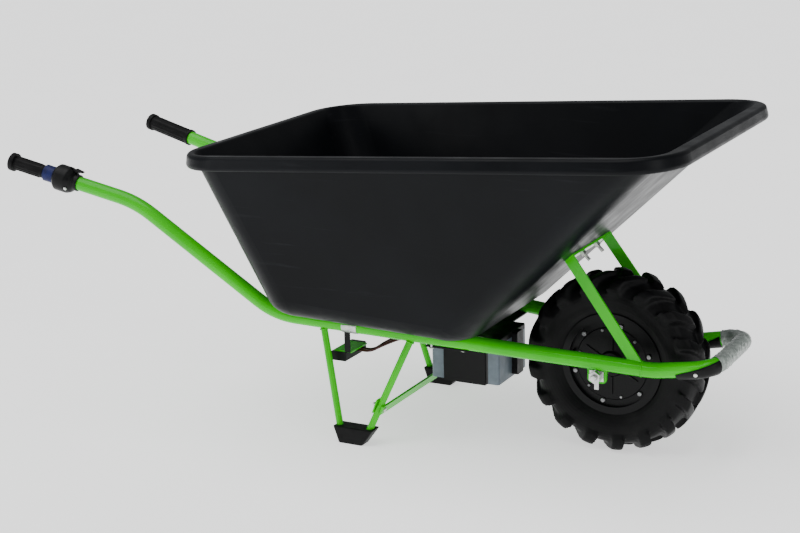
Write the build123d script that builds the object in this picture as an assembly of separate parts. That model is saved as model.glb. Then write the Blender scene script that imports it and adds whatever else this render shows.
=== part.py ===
from build123d import *
import math
import os

# Single-wheel power wheelbarrow with a hub motor. Millimetres. +X is forward, towards the wheel,
# +Z is up, and the operator's right hand is on the -Y side.
# The pieces are laid out from the wheel: x = 0 is the axle and z = 0 is the ground. At the end
# everything slides along X so that the origin is on the ground in the middle of the overall box.

# Wheel
TYRE_RADIUS = 205
TYRE_HALF_WIDTH = 57
TYRE_WALL = 7
LUG_HEIGHT = 13
LUG_WIDTH = 23
LUG_SLANT = 38
LUGS_PER_SIDE = 17
BEAD_SEAT_RADIUS = 103
RIM_FLANGE_RADIUS = 116
RIM_HALF_WIDTH = 47
RIM_SHEET = 3
AXLE_RADIUS = 7
MOTOR_RADIUS = 84
MOTOR_HALF_WIDTH = 34
MOTOR_WALL = 12
MAGNET_THICKNESS = 4
MOTOR_AIR_GAP = 0.6
COVER_THICKNESS = 6
SCREWS_ON_MOTOR = 6

# Frame tubes
TUBE_RADIUS = 17
TUBE_WALL = 2
RAIL_HALF_SPREAD = 128
SPLAY_ANGLE = 6.24
RAIL_HEIGHT = 235
RAIL_SLOPE = 3.2
LOWER_BEND_BACK = 762
UPPER_BEND_BACK = 1111
HANDLE_END_BACK = 1446
RISE_ANGLE = 34.8
GRIP_ANGLE = 13.5
LOWER_BEND_RADIUS = 180
UPPER_BEND_RADIUS = 250
SEAM_AHEAD = 98
NOSE_BEND_AHEAD = 122
NOSE_AHEAD = 259
NOSE_RISE = 25
NOSE_HALF_SPREAD = 124
NOSE_BEND_RADIUS = 125
NOSE_CORNER_RADIUS = 48

# Tub
TUB_WALL = 4.5
TUB_MIDDLE_BACK = 512
FLOOR_HALF_LENGTH = 245
FLOOR_HALF_REAR = 295
FLOOR_HALF_FRONT = 250
FLOOR_CORNER = 88
FLOOR_EDGE_ROUND = 55
FLOOR_GAP = 1.5
RIM_MIDDLE_BACK = 344
RIM_HEIGHT = 706
RIM_TILT = 3.9
MOUTH_HALF_LENGTH = 563
MOUTH_HALF_REAR = 357
MOUTH_HALF_FRONT = 357
MOUTH_CORNER = 72
RIM_CORNER = 98
RIM_OVERHANG = 22
RIM_SKIRT = 33
SKIRT_FLARE = 6
RIM_EDGE_ROUND = 9
MOUTH_EDGE_ROUND = 6

# Legs, feet and braces
LEG_RADIUS = 8
LEG_WALL = 1.5
REAR_LEG_TOP_BACK = 644
FRONT_LEG_TOP_BACK = 424
REAR_LEG_FOOT_BACK = 590
FRONT_LEG_FOOT_BACK = 510
FOOT_SIDE = 230
FOOT_HEIGHT = 40
FOOT_TOP = (103, 40)
FOOT_SOLE = (62, 34)
FOOT_MIDDLE_BACK = 547
FOOT_SOLE_BACK = 555.5
LEG_SOCKET_DEPTH = 14
CROSS_BAR_HEIGHT = 90
CROSS_BAR_SECTION = (20, 5)
HOOP_TOP_HEIGHT = 458
HOOP_HALF_TOP = 111
HOOP_HALF_FOOT = 120
HOOP_FOOT_AHEAD = 95
HOOP_BAR = (25, 5)
HOOP_GAP = 0.3
STRAP_BAR = (30, 4)
REAR_STRAP_BACK = 650
FRONT_STRAP_BACK = 350
FLOOR_BOLT_SPREAD = 75
HOOP_BOLT_SPREAD = 41

# Battery and controller
BATTERY_SIZE = (170, 154, 95)
BATTERY_MIDDLE_BACK = 343
BATTERY_UNDERSIDE = 129
BATTERY_WALL = 4
LID_HEIGHT = 12
CRADLE_LENGTH = 105
CRADLE_SHEET = 3
PLUG_BOX = (14, 34, 102)
PLUG_SIDE = -4
CONTROLLER_SIZE = (40, 96, 22)
CONTROLLER_MIDDLE_BACK = 612
CONTROLLER_SIDE = 140
CONTROLLER_UNDERSIDE = 176
HANGER_BAR = (14, 3)
HANGER_BACK = 585
LEAD_RADIUS = 3

# Handles
INNER_BAR_RADIUS = 11
GRIP_LENGTH = 95
GRIP_RADIUS = 16
GRIP_FLANGE_RADIUS = 22
COLLAR_LENGTH = 30
COLLAR_RADIUS = 20
HOUSING_LENGTH = 53
HOUSING_RADIUS = 32
PLAIN_GRIP_LENGTH = 142
PLAIN_GRIP_RADIUS = 19

# Nose
GUARD_THICKNESS = 4
WRAP_THICKNESS = 3
WRAP_RIGHT = 97
WRAP_LEFT = 160
RIGHT_GUARD_LENGTH = 85
LEFT_GUARD_LENGTH = 40

# Fits
RUNNING = 0.05
SIDE_GAP = 0.4
HOLE_CLEARANCE = 0.4

SIDES = {"right": -1, "left": 1}
parts = {}


def tan(angle):
    return math.tan(math.radians(angle))


def rod(start, end, radius, bore=0):
    """A round bar, or a tube, from one point to another."""
    start, end = Vector(start), Vector(end)
    plane = Plane(origin=start, z_dir=end - start)
    section = Circle(radius)
    if bore:
        section -= Circle(bore)
    return extrude(plane * section, (end - start).length)


def hexagon(start, end, across_flats):
    """A hexagonal nut or bolt head from one point to another."""
    start, end = Vector(start), Vector(end)
    plane = Plane(origin=start, z_dir=end - start)
    return extrude(plane * RegularPolygon(across_flats / 2, 6, major_radius=False), (end - start).length)


def block(low, high):
    """A box from its low corner to its high corner."""
    low, high = Vector(low), Vector(high)
    size = high - low
    return Pos(*((low + high) * 0.5)) * Box(size.X, size.Y, size.Z)


def group(shapes):
    """Like pieces that share a node, each still its own solid."""
    return Compound(children=[solid for shape in shapes for solid in shape.solids()])


# ---------------------------------------------------------------- frame tubes

def rail_height(x):
    return RAIL_HEIGHT - x * tan(RAIL_SLOPE)


def rail_side(x):
    return RAIL_HALF_SPREAD - x * tan(SPLAY_ANGLE)


def tube_point(x, z, side):
    return Vector(x, side * rail_side(x), z)


def rail_point(x, side):
    return tube_point(x, rail_height(x), side)


def side_tube_points(side, handle_x):
    lower_z = rail_height(-LOWER_BEND_BACK)
    upper_z = lower_z + (UPPER_BEND_BACK - LOWER_BEND_BACK) * tan(RISE_ANGLE)
    handle_z = upper_z + (-handle_x - UPPER_BEND_BACK) * tan(GRIP_ANGLE)
    return [
        tube_point(handle_x, handle_z, side),
        tube_point(-UPPER_BEND_BACK, upper_z, side),
        tube_point(-LOWER_BEND_BACK, lower_z, side),
        rail_point(SEAM_AHEAD, side),
    ]


def nose_points():
    """The loop ahead of the wheel, from the right rail's end round to the left rail's end."""
    nose_z = rail_height(NOSE_BEND_AHEAD) + NOSE_RISE
    half = [
        lambda side: rail_point(SEAM_AHEAD, side),
        lambda side: rail_point(NOSE_BEND_AHEAD, side),
        lambda side: Vector(NOSE_AHEAD, side * NOSE_HALF_SPREAD, nose_z),
    ]
    return [point(-1) for point in half] + [point(1) for point in reversed(half)]


def swept(path, radius, bore=0):
    start = Plane(origin=path @ 0, z_dir=path % 0)
    solid = sweep(start * Circle(radius), path=path)
    if bore:
        solid -= sweep(start * Circle(bore), path=path)
    return solid


def handle_plane(side):
    """Local Z runs forward along the handle from its rear end, local X is up."""
    points = side_tube_points(side, -HANDLE_END_BACK)
    forward = (points[1] - points[0]).normalized()
    across = Vector(0, 0, 1).cross(forward).normalized()
    return Plane(origin=points[0], x_dir=forward.cross(across), z_dir=forward)


HOUSING_START = GRIP_LENGTH + COLLAR_LENGTH
TUBE_START = {-1: HOUSING_START + HOUSING_LENGTH + 6, 1: 8}
tube_bodies = {}
for name, side in SIDES.items():
    along = TUBE_START[side] * handle_plane(side).z_dir.X
    points = side_tube_points(side, -HANDLE_END_BACK + along)
    path = FilletPolyline(*points, radius=[UPPER_BEND_RADIUS, LOWER_BEND_RADIUS])
    parts[f"{name}_side_tube"] = swept(path, TUBE_RADIUS, TUBE_RADIUS - TUBE_WALL)
    tube_bodies[side] = swept(path, TUBE_RADIUS)

loop_path = FilletPolyline(
    *nose_points(),
    radius=[NOSE_BEND_RADIUS, NOSE_CORNER_RADIUS, NOSE_CORNER_RADIUS, NOSE_BEND_RADIUS],
)
parts["front_loop_tube"] = swept(loop_path, TUBE_RADIUS, TUBE_RADIUS - TUBE_WALL)


# ---------------------------------------------------------------- tub

def between(low, high, share):
    return low + (high - low) * share


FLOOR_HEIGHT = rail_height(-TUB_MIDDLE_BACK) + TUBE_RADIUS / math.cos(math.radians(RAIL_SLOPE)) + FLOOR_GAP
TUB_DEPTH = RIM_HEIGHT - FLOOR_HEIGHT


def tub_plane(share):
    """Lies between the floor (share 0) and the top of the rim (share 1), local X forward."""
    tilt = math.radians(between(-RAIL_SLOPE, RIM_TILT, share))
    return Plane(
        origin=(
            -between(TUB_MIDDLE_BACK, RIM_MIDDLE_BACK, share),
            0,
            between(FLOOR_HEIGHT, RIM_HEIGHT, share),
        ),
        x_dir=(math.cos(tilt), 0, math.sin(tilt)),
        z_dir=(-math.sin(tilt), 0, math.cos(tilt)),
    )


def tub_outline(share, rear_grow=0, front_grow=0, side_grow=0, corner_grow=0):
    half_length = between(FLOOR_HALF_LENGTH, MOUTH_HALF_LENGTH, share)
    rear, front = -half_length - rear_grow, half_length + front_grow
    half_rear = between(FLOOR_HALF_REAR, MOUTH_HALF_REAR, share) + side_grow
    half_front = between(FLOOR_HALF_FRONT, MOUTH_HALF_FRONT, share) + side_grow
    corner = between(FLOOR_CORNER, MOUTH_CORNER, share) + corner_grow
    corners = [(rear, -half_rear), (front, -half_front), (front, half_front), (rear, half_rear)]
    return make_face(FilletPolyline(*corners, radius=corner, close=True))


def lean(floor_x, mouth_x):
    """How much longer the wall is, measured level, than square to its face."""
    return math.hypot(1, (mouth_x - floor_x) / TUB_DEPTH)


FRONT_LEAN = lean(FLOOR_HALF_LENGTH - TUB_MIDDLE_BACK, MOUTH_HALF_LENGTH - RIM_MIDDLE_BACK)
REAR_LEAN = lean(-FLOOR_HALF_LENGTH - TUB_MIDDLE_BACK, -MOUTH_HALF_LENGTH - RIM_MIDDLE_BACK)
SIDE_LEAN = lean(FLOOR_HALF_FRONT, MOUTH_HALF_FRONT)


def rim_solid(grow, drop, edge_round):
    """The rolled rim filled in: flat on top, with a skirt that flares towards its lower edge."""
    corner_grow = grow + RIM_CORNER - MOUTH_CORNER
    low_grow = grow + SKIRT_FLARE
    solid = loft(
        [
            tub_plane(1) * Pos(0, 0, -RIM_SKIRT - drop) * tub_outline(1, *[low_grow] * 3, corner_grow + SKIRT_FLARE),
            tub_plane(1) * Pos(0, 0, -drop) * tub_outline(1, *[grow] * 3, corner_grow),
        ],
        ruled=True,
    )
    return fillet(solid.faces().sort_by(Axis.Z)[-1].edges(), edge_round)


def tub_body():
    outer = loft([tub_plane(0) * tub_outline(0), tub_plane(1) * tub_outline(1)], ruled=True)
    outer = fillet(outer.faces().sort_by(Axis.Z)[0].edges(), FLOOR_EDGE_ROUND)

    low, high = TUB_WALL / TUB_DEPTH, 1 + 12 / TUB_DEPTH
    inset = (-TUB_WALL * REAR_LEAN, -TUB_WALL * FRONT_LEAN, -TUB_WALL * SIDE_LEAN, -TUB_WALL)
    inner = loft(
        [tub_plane(low) * tub_outline(low, *inset), tub_plane(high) * tub_outline(high, *inset)],
        ruled=True,
    )
    inner = fillet(inner.faces().sort_by(Axis.Z)[0].edges(), FLOOR_EDGE_ROUND - TUB_WALL)

    rim = rim_solid(RIM_OVERHANG, 0, RIM_EDGE_ROUND)
    rim -= rim_solid(RIM_OVERHANG - TUB_WALL, TUB_WALL, RIM_EDGE_ROUND - TUB_WALL)
    tub = outer + rim - inner
    rim_top = tub.faces().filter_by(lambda face: face.normal_at().Z > 0.99).sort_by(Axis.Z)[-1]
    return fillet(rim_top.inner_wires()[0].edges(), MOUTH_EDGE_ROUND)


def wall_point(height):
    """A point on the outside of the tub's front wall, and the wall's outward normal."""
    foot = tub_plane(0).from_local_coords(Vector(FLOOR_HALF_LENGTH, 0, 0))
    top = tub_plane(1).from_local_coords(Vector(MOUTH_HALF_LENGTH, 0, 0))
    up_wall = (top - foot).normalized()
    share = (height - foot.Z) / (top.Z - foot.Z)
    return foot + (top - foot) * share, Vector(up_wall.Z, 0, -up_wall.X), up_wall


# ---------------------------------------------------------------- bolts

def bolt(seat, direction, radius, grip_length, head_radius, tail):
    """A round-headed bolt: its head sits on the seat and its shank runs along the direction."""
    seat, direction = Vector(seat), Vector(direction).normalized()
    head_height = head_radius * 0.55
    head = rod(seat - direction * head_height, seat, head_radius)
    head = fillet(head.edges().sort_by(lambda edge: (edge.center() - seat).dot(direction))[0], head_height * 0.7)
    shank = rod(seat - direction * 0.5, seat + direction * (grip_length + tail), radius)
    return head + shank


def nut(seat, direction, radius, across_flats, height):
    """A nut whose face sits on the seat and whose body runs along the direction."""
    seat, direction = Vector(seat), Vector(direction).normalized()
    return hexagon(seat, seat + direction * height, across_flats) - rod(
        seat - direction, seat + direction * (height + 1), radius
    )


def washer(seat, direction, radius, outer, height):
    seat, direction = Vector(seat), Vector(direction).normalized()
    return rod(seat, seat + direction * height, outer, radius)


# ---------------------------------------------------------------- tub with its straps and bolts

M8 = 4
M6 = 3
WASHER_RADIUS = 15
WASHER_HEIGHT = 2
WASHER_BED = 0.5
tub = tub_body()


def washer_bed(inside, inward):
    """What the washer presses into the plastic around its bolt."""
    return rod(inside, inside + inward * 5, WASHER_RADIUS + HOLE_CLEARANCE)


floor_down = tub_plane(0).z_dir * -1
straps, tub_bolts, tub_washers, tub_nuts = [], [], [], []
for back in (REAR_STRAP_BACK, FRONT_STRAP_BACK):
    local_x = (TUB_MIDDLE_BACK - back) / math.cos(math.radians(RAIL_SLOPE))
    spot = tub_plane(0) * Pos(local_x, 0, -STRAP_BAR[1] / 2)
    strap = spot * Box(STRAP_BAR[0], 2 * rail_side(-back), STRAP_BAR[1])
    strap -= tube_bodies[-1]
    strap -= tube_bodies[1]
    for across in (-FLOOR_BOLT_SPREAD, FLOOR_BOLT_SPREAD):
        on_floor = tub_plane(0).from_local_coords(Vector(local_x, across, 0))
        inside = on_floor - floor_down * (TUB_WALL - WASHER_BED)
        hole = rod(inside - floor_down * 5, on_floor + floor_down * 20, M8 + HOLE_CLEARANCE)
        tub -= hole
        tub -= washer_bed(inside, floor_down * -1)
        strap -= hole
        seat = inside - floor_down * WASHER_HEIGHT
        tub_washers.append(washer(inside, floor_down * -1, M8 + HOLE_CLEARANCE, WASHER_RADIUS, WASHER_HEIGHT))
        grip_length = WASHER_HEIGHT + TUB_WALL - WASHER_BED + STRAP_BAR[1]
        tub_bolts.append(bolt(seat, floor_down, M8, grip_length, 8, 9))
        tub_nuts.append(nut(on_floor + floor_down * STRAP_BAR[1], floor_down, M8, 13, 6.5))
    straps.append(strap)
parts["floor_straps"] = group(straps)


# ---------------------------------------------------------------- front hoop

def hoop_frame():
    on_wall, out, up_wall = wall_point(HOOP_TOP_HEIGHT)
    width, thickness = HOOP_BAR
    bar_middle = on_wall + out * (thickness / 2 + HOOP_GAP)
    bar_plane = Plane(origin=bar_middle, x_dir=(0, 1, 0), z_dir=out)
    hoop = bar_plane * Box(2 * HOOP_HALF_TOP + thickness, width, thickness)
    behind = bar_plane * Pos(0, 0, -thickness / 2 - 60) * Box(600, 400, 120)
    for side in SIDES.values():
        top = Vector(bar_middle.X, side * HOOP_HALF_TOP, bar_middle.Z)
        foot = Vector(HOOP_FOOT_AHEAD, side * HOOP_HALF_FOOT, rail_height(HOOP_FOOT_AHEAD))
        down = (foot - top).normalized()
        flat = Vector(0, 1, 0).cross(down).normalized()
        start = top - down * 25
        leg_plane = Plane(origin=start, x_dir=flat, z_dir=down)
        leg = extrude(leg_plane * Rectangle(width, thickness), (foot - start).length)
        hoop += leg - behind
    hoop -= tube_bodies[-1]
    hoop -= tube_bodies[1]
    hoop -= swept(loop_path, TUBE_RADIUS)
    return hoop, on_wall, out


hoop, hoop_spot, hoop_out = hoop_frame()
for across in (-HOOP_BOLT_SPREAD, HOOP_BOLT_SPREAD):
    on_wall = hoop_spot + Vector(0, across, 0)
    inside = on_wall - hoop_out * (TUB_WALL - WASHER_BED)
    bar_face = on_wall + hoop_out * (HOOP_GAP + HOOP_BAR[1])
    hole = rod(inside - hoop_out * 8, bar_face + hoop_out * 20, M8 + HOLE_CLEARANCE)
    tub -= hole
    tub -= washer_bed(inside, hoop_out * -1)
    hoop -= hole
    seat = inside - hoop_out * WASHER_HEIGHT
    tub_washers.append(washer(inside, hoop_out * -1, M8 + HOLE_CLEARANCE, WASHER_RADIUS, WASHER_HEIGHT))
    grip_length = (bar_face - seat).length
    tub_bolts.append(bolt(seat, hoop_out, M8, grip_length, 8, 24))
    tub_nuts.append(nut(bar_face, hoop_out, M8, 13, 8))
parts["front_hoop"] = hoop
parts["tub_bolts"] = group(tub_bolts)
parts["tub_nuts"] = group(tub_nuts)
parts["tub_washers"] = group(tub_washers)
parts["tub"] = tub


# ---------------------------------------------------------------- legs, feet and cross bar

def leg_ends(top_back, foot_back, side):
    top = rail_point(-top_back, side)
    foot = Vector(-foot_back, side * FOOT_SIDE, FOOT_HEIGHT)
    down = (foot - top).normalized()
    return top, foot + down * LEG_SOCKET_DEPTH


def foot_block(side):
    top = Pos(-FOOT_MIDDLE_BACK, side * FOOT_SIDE, FOOT_HEIGHT) * RectangleRounded(*FOOT_TOP, 5)
    sole = Pos(-FOOT_SOLE_BACK, side * FOOT_SIDE, 0) * RectangleRounded(*FOOT_SOLE, 5)
    return loft([sole, top], ruled=True)


cross_bolts, cross_nuts, saddles = [], [], []
legs = {"rear": [], "front": []}
cross_holes = []
cross_bar_cuts = []
bar_height, bar_thickness = CROSS_BAR_SECTION
saddle_sheet = 3
for name, side in SIDES.items():
    foot = foot_block(side)
    leg_specs = {"rear": (REAR_LEG_TOP_BACK, REAR_LEG_FOOT_BACK), "front": (FRONT_LEG_TOP_BACK, FRONT_LEG_FOOT_BACK)}
    for place, (top_back, foot_back) in leg_specs.items():
        top, end = leg_ends(top_back, foot_back, side)
        solid_leg = rod(top, end, LEG_RADIUS)
        foot -= solid_leg
        leg = rod(top, end, LEG_RADIUS, LEG_RADIUS - LEG_WALL) - tube_bodies[side]
        if place == "front":
            down = (end - top).normalized()
            crossing = top + down * ((top.Z - CROSS_BAR_HEIGHT) / -down.Z)
            ahead = Vector(-down.Z, 0, down.X).normalized()
            along_leg = Vector(ahead.Z, 0, -ahead.X)
            hole = rod(crossing - ahead * 30, crossing + ahead * 30, M6 + HOLE_CLEARANCE)
            leg -= hole
            cross_holes.append(hole)
            cross_bar_cuts.append(solid_leg)
            bar_middle = crossing + ahead * (LEG_RADIUS - 0.4 + bar_thickness / 2)
            saddle_middle = crossing - ahead * (LEG_RADIUS - 0.4 + saddle_sheet / 2)
            saddle_plane = Plane(origin=saddle_middle, x_dir=(0, 1, 0), z_dir=ahead)
            saddle = saddle_plane * Box(22, 34, saddle_sheet) - solid_leg - hole
            saddles.append(saddle)
            bar_face = crossing + ahead * (LEG_RADIUS - 0.4 + bar_thickness)
            saddle_face = crossing - ahead * (LEG_RADIUS - 0.4 + saddle_sheet)
            cross_bolts.append(bolt(bar_face, ahead * -1, M6, (bar_face - saddle_face).length, 6, 8))
            cross_nuts.append(nut(saddle_face, ahead * -1, M6, 10, 5))
        legs[place].append(leg)
    parts[f"{name}_foot"] = foot

cross_plane = Plane(origin=(bar_middle.X, 0, bar_middle.Z), x_dir=(0, 1, 0), z_dir=ahead)
cross_bar = cross_plane * Box(2 * (abs(crossing.Y) + 13), bar_height, bar_thickness)
for cut in cross_holes + cross_bar_cuts:
    cross_bar -= cut
parts["leg_cross_bar"] = cross_bar
parts["rear_legs"] = group(legs["rear"])
parts["front_legs"] = group(legs["front"])
parts["cross_bar_saddles"] = group(saddles)
parts["cross_bar_bolts"] = group(cross_bolts)
parts["cross_bar_nuts"] = group(cross_nuts)


# ---------------------------------------------------------------- axle

LUG_PLATE = (44, 5, 47)
lug_face = RAIL_HALF_SPREAD + LUG_PLATE[1] / 2
TORQUE_WASHER = 2.5
TORQUE_PLATE = (32, TORQUE_WASHER, 23)
TORQUE_FINGER = (10, TORQUE_WASHER, 22)
AXLE_NUT_FLATS = 24
AXLE_WASHER = 2
AXLE_NUT = 12
AXLE_SHOULDER = 52
AXLE_CORE_RADIUS = AXLE_RADIUS + 0.5
axle_end = lug_face + TORQUE_WASHER + AXLE_WASHER + AXLE_NUT + 9
axle_z = TYRE_RADIUS

axle = rod((0, -axle_end, axle_z), (0, axle_end, axle_z), AXLE_RADIUS)
axle += rod((0, -AXLE_SHOULDER, axle_z), (0, AXLE_SHOULDER, axle_z), AXLE_CORE_RADIUS)
axle = chamfer(axle.edges().group_by(Axis.Y)[0] + axle.edges().group_by(Axis.Y)[-1], 1)
parts["axle"] = axle

axle_lugs, torque_washers, axle_washers, axle_nuts, spacers = [], [], [], [], []
for name, side in SIDES.items():
    plate = Pos(0, side * RAIL_HALF_SPREAD, RAIL_HEIGHT - LUG_PLATE[2] / 2) * Box(*LUG_PLATE)
    plate = fillet(plate.edges().filter_by(Axis.Y).group_by(Axis.Z)[0], 10)
    plate -= tube_bodies[side]
    plate -= rod((0, side * (lug_face - 20), axle_z), (0, side * (lug_face + 20), axle_z), AXLE_RADIUS + RUNNING)
    axle_lugs.append(plate)
    out = Vector(0, side, 0)
    seat = Vector(0, side * lug_face, axle_z)
    finger = Pos(0, side * (lug_face + TORQUE_WASHER / 2), axle_z - 20) * Box(*TORQUE_FINGER)
    plate = Pos(0, side * (lug_face + TORQUE_WASHER / 2), axle_z) * Box(*TORQUE_PLATE) + finger
    torque_washers.append(plate - rod(seat - out, seat + out * 5, AXLE_RADIUS + RUNNING))
    seat += out * TORQUE_WASHER
    axle_washers.append(washer(seat, out, AXLE_RADIUS + RUNNING, AXLE_NUT_FLATS / 2 + 1.5, AXLE_WASHER))
    seat += out * AXLE_WASHER
    axle_nuts.append(nut(seat, out, AXLE_RADIUS, AXLE_NUT_FLATS, AXLE_NUT))
    inner_face = RAIL_HALF_SPREAD - LUG_PLATE[1] / 2
    spacers.append(
        rod((0, side * AXLE_SHOULDER, axle_z), (0, side * inner_face, axle_z), 11, AXLE_RADIUS + RUNNING)
    )
parts["axle_lugs"] = group(axle_lugs)
parts["axle_torque_washers"] = group(torque_washers)
parts["axle_washers"] = group(axle_washers)
parts["axle_nuts"] = group(axle_nuts)
parts["axle_spacers"] = group(spacers)


# ---------------------------------------------------------------- wheel

def wheel_ring(points):
    """Turns an outline of (radius, distance along the axle) points about the axle."""
    return revolve(make_face(Polyline(*points, close=True)), Axis.Y)


def tyre_carcass():
    crown = TYRE_RADIUS - LUG_HEIGHT
    half = TYRE_HALF_WIDTH
    wall = TYRE_WALL
    bead = BEAD_SEAT_RADIUS
    outer = [
        Line((bead, 31), (bead, 43)),
        Line((bead, 43), (RIM_FLANGE_RADIUS + 1, 43.6)),
        ThreePointArc((RIM_FLANGE_RADIUS + 1, 43.6), (bead + 46, half), (crown - 10, half - 12)),
        ThreePointArc((crown - 10, half - 12), (crown - 1.5, half * 0.42), (crown, 0)),
    ]
    inner = [
        Line((crown, 0), (crown - wall - 1, 0)),
        ThreePointArc(
            (crown - wall - 1, 0),
            (crown - wall - 2.5, half * 0.4),
            (crown - 10 - wall, half - 12 - wall),
        ),
        ThreePointArc(
            (crown - 10 - wall, half - 12 - wall),
            (bead + 46, half - wall),
            (bead + 13, 36),
        ),
        Line((bead + 13, 36), (bead + 5, 31)),
        Line((bead + 5, 31), (bead, 31)),
    ]
    half_ring = revolve(make_face(outer + inner), Axis.Y)
    return half_ring + mirror(half_ring, Plane.XZ)


def lug_envelope():
    """The band that the lugs fill on one side: from the crown over the shoulder."""
    crown = TYRE_RADIUS - LUG_HEIGHT
    half = TYRE_HALF_WIDTH
    edges = [
        Line((crown - 4, 2), (TYRE_RADIUS, 2)),
        ThreePointArc((TYRE_RADIUS, 2), (TYRE_RADIUS - 1.5, half * 0.45), (TYRE_RADIUS - 7, half - 5)),
        ThreePointArc((TYRE_RADIUS - 7, half - 5), (TYRE_RADIUS - 20, half + 3.5), (TYRE_RADIUS - 42, half + 1.5)),
        Line((TYRE_RADIUS - 42, half + 1.5), (TYRE_RADIUS - 44, half - 3)),
        Line((TYRE_RADIUS - 44, half - 3), (crown - 14, half - 14)),
        Line((crown - 14, half - 14), (crown - 4, half * 0.4)),
        Line((crown - 4, half * 0.4), (crown - 4, 2)),
    ]
    return revolve(make_face(edges), Axis.Y)


def tyre():
    pitch = 360 / LUGS_PER_SIDE
    slab = Pos(0, TYRE_HALF_WIDTH / 2, TYRE_RADIUS - 20) * Rot(0, 0, LUG_SLANT) * Box(LUG_WIDTH, 150, 70)
    lug = lug_envelope() & slab
    far_lug = Rot(0, pitch / 2, 0) * mirror(lug, Plane.XZ)
    lugs = []
    for index in range(LUGS_PER_SIDE):
        lugs.append(Rot(0, index * pitch, 0) * lug)
        lugs.append(Rot(0, index * pitch, 0) * far_lug)
    return tyre_carcass().fuse(*lugs)


def rim():
    seat, flange, half, sheet = BEAD_SEAT_RADIUS, RIM_FLANGE_RADIUS, RIM_HALF_WIDTH, RIM_SHEET
    well = seat - 6
    profile = [
        (flange, half),
        (flange, half - sheet),
        (seat, half - sheet),
        (seat, 28),
        (well, 22),
        (well, -22),
        (seat, -28),
        (seat, -half + sheet),
        (flange, -half + sheet),
        (flange, -half),
        (seat - sheet, -half),
        (seat - sheet, -28 - sheet / 2),
        (well - sheet, -22 - sheet / 2),
        (well - sheet, 22 + sheet / 2),
        (seat - sheet, 28 + sheet / 2),
        (seat - sheet, half),
    ]
    web = wheel_ring(
        [
            (seat - sheet, -WEB_OUTSIDE),
            (seat - sheet, -WEB_OUTSIDE + RIM_WEB),
            (WEB_BORE, -WEB_OUTSIDE + RIM_WEB),
            (WEB_BORE, -WEB_OUTSIDE),
        ]
    )
    return wheel_ring(profile) + web


RIM_WEB = 4
WEB_OUTSIDE = MOTOR_HALF_WIDTH + RIM_WEB
WEB_BORE = MOTOR_RADIUS + 0.3
FLANGE_REACH = 11.5
RIM_BOLT_HEAD = 5.5
COVER_SCREW_HEAD = 3.3
RIM_BOLT_CIRCLE = MOTOR_RADIUS + RIM_BOLT_HEAD + 0.5
COVER_SCREW_CIRCLE = MOTOR_RADIUS - 6
BEARING_RADIUS = 17.5
BEARING_WIDTH = 11


def around(shape, count, start_angle):
    return [Rot(0, start_angle + index * 360 / count, 0) * shape for index in range(count)]


motor_shell = wheel_ring(
    [
        (MOTOR_RADIUS - MOTOR_WALL, -MOTOR_HALF_WIDTH),
        (MOTOR_RADIUS + FLANGE_REACH, -MOTOR_HALF_WIDTH),
        (MOTOR_RADIUS + FLANGE_REACH, -MOTOR_HALF_WIDTH + 8),
        (MOTOR_RADIUS, -MOTOR_HALF_WIDTH + 8),
        (MOTOR_RADIUS, MOTOR_HALF_WIDTH),
        (MOTOR_RADIUS - MOTOR_WALL, MOTOR_HALF_WIDTH),
    ]
)
magnet_outer = MOTOR_RADIUS - MOTOR_WALL
magnet_ring = wheel_ring(
    [
        (magnet_outer - MAGNET_THICKNESS, -22),
        (magnet_outer, -22),
        (magnet_outer, 22),
        (magnet_outer - MAGNET_THICKNESS, 22),
    ]
)
stator_radius = magnet_outer - MAGNET_THICKNESS - MOTOR_AIR_GAP
stator = wheel_ring([(AXLE_CORE_RADIUS, -18), (stator_radius, -18), (stator_radius, 18), (AXLE_CORE_RADIUS, 18)])
slot = Pos(0, 0, stator_radius - 12) * Box(4, 60, 30)
for cut in around(slot, 18, 0):
    stator -= cut


def motor_cover():
    """A dished cover with a bearing seat, on the -Y side."""
    face = MOTOR_HALF_WIDTH + COVER_THICKNESS
    cover = wheel_ring(
        [
            (BEARING_RADIUS, -MOTOR_HALF_WIDTH + 4),
            (BEARING_RADIUS, -face - 5),
            (AXLE_CORE_RADIUS + 2, -face - 5),
            (AXLE_CORE_RADIUS + 2, -face - 8),
            (26, -face - 8),
            (30, -face),
            (MOTOR_RADIUS - 2, -face),
            (MOTOR_RADIUS, -face + 2),
            (MOTOR_RADIUS, -MOTOR_HALF_WIDTH),
            (MOTOR_RADIUS - MOTOR_WALL - 3, -MOTOR_HALF_WIDTH),
            (MOTOR_RADIUS - MOTOR_WALL - 3, -MOTOR_HALF_WIDTH + 4),
        ]
    )
    for rib in around(Pos(0, -face - 1.5, 50) * Box(5, 3, 40), SCREWS_ON_MOTOR, 0):
        cover += rib
    return cover


def turned_bolt(circle, face, shank, depth, head, head_height):
    """A screw parallel to the axle, its head outside the -Y face."""
    screw = rod((0, -face, circle), (0, -face + depth, circle), shank)
    cap = rod((0, -face - head_height, circle), (0, -face, circle), head)
    cap = fillet(cap.edges().group_by(Axis.Y)[0], head_height * 0.4)
    return screw + cap


cover_face = MOTOR_HALF_WIDTH + COVER_THICKNESS
right_cover = motor_cover()
left_cover = mirror(motor_cover(), Plane.XZ)
cover_screw = turned_bolt(COVER_SCREW_CIRCLE, cover_face, 2.5, 18, COVER_SCREW_HEAD, 3)
right_screws = around(cover_screw, SCREWS_ON_MOTOR, 43)
left_screws = [mirror(screw, Plane.XZ) for screw in right_screws]
for cut in right_screws:
    right_cover -= cut
    motor_shell -= cut
for cut in left_screws:
    left_cover -= cut
    motor_shell -= cut

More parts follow.
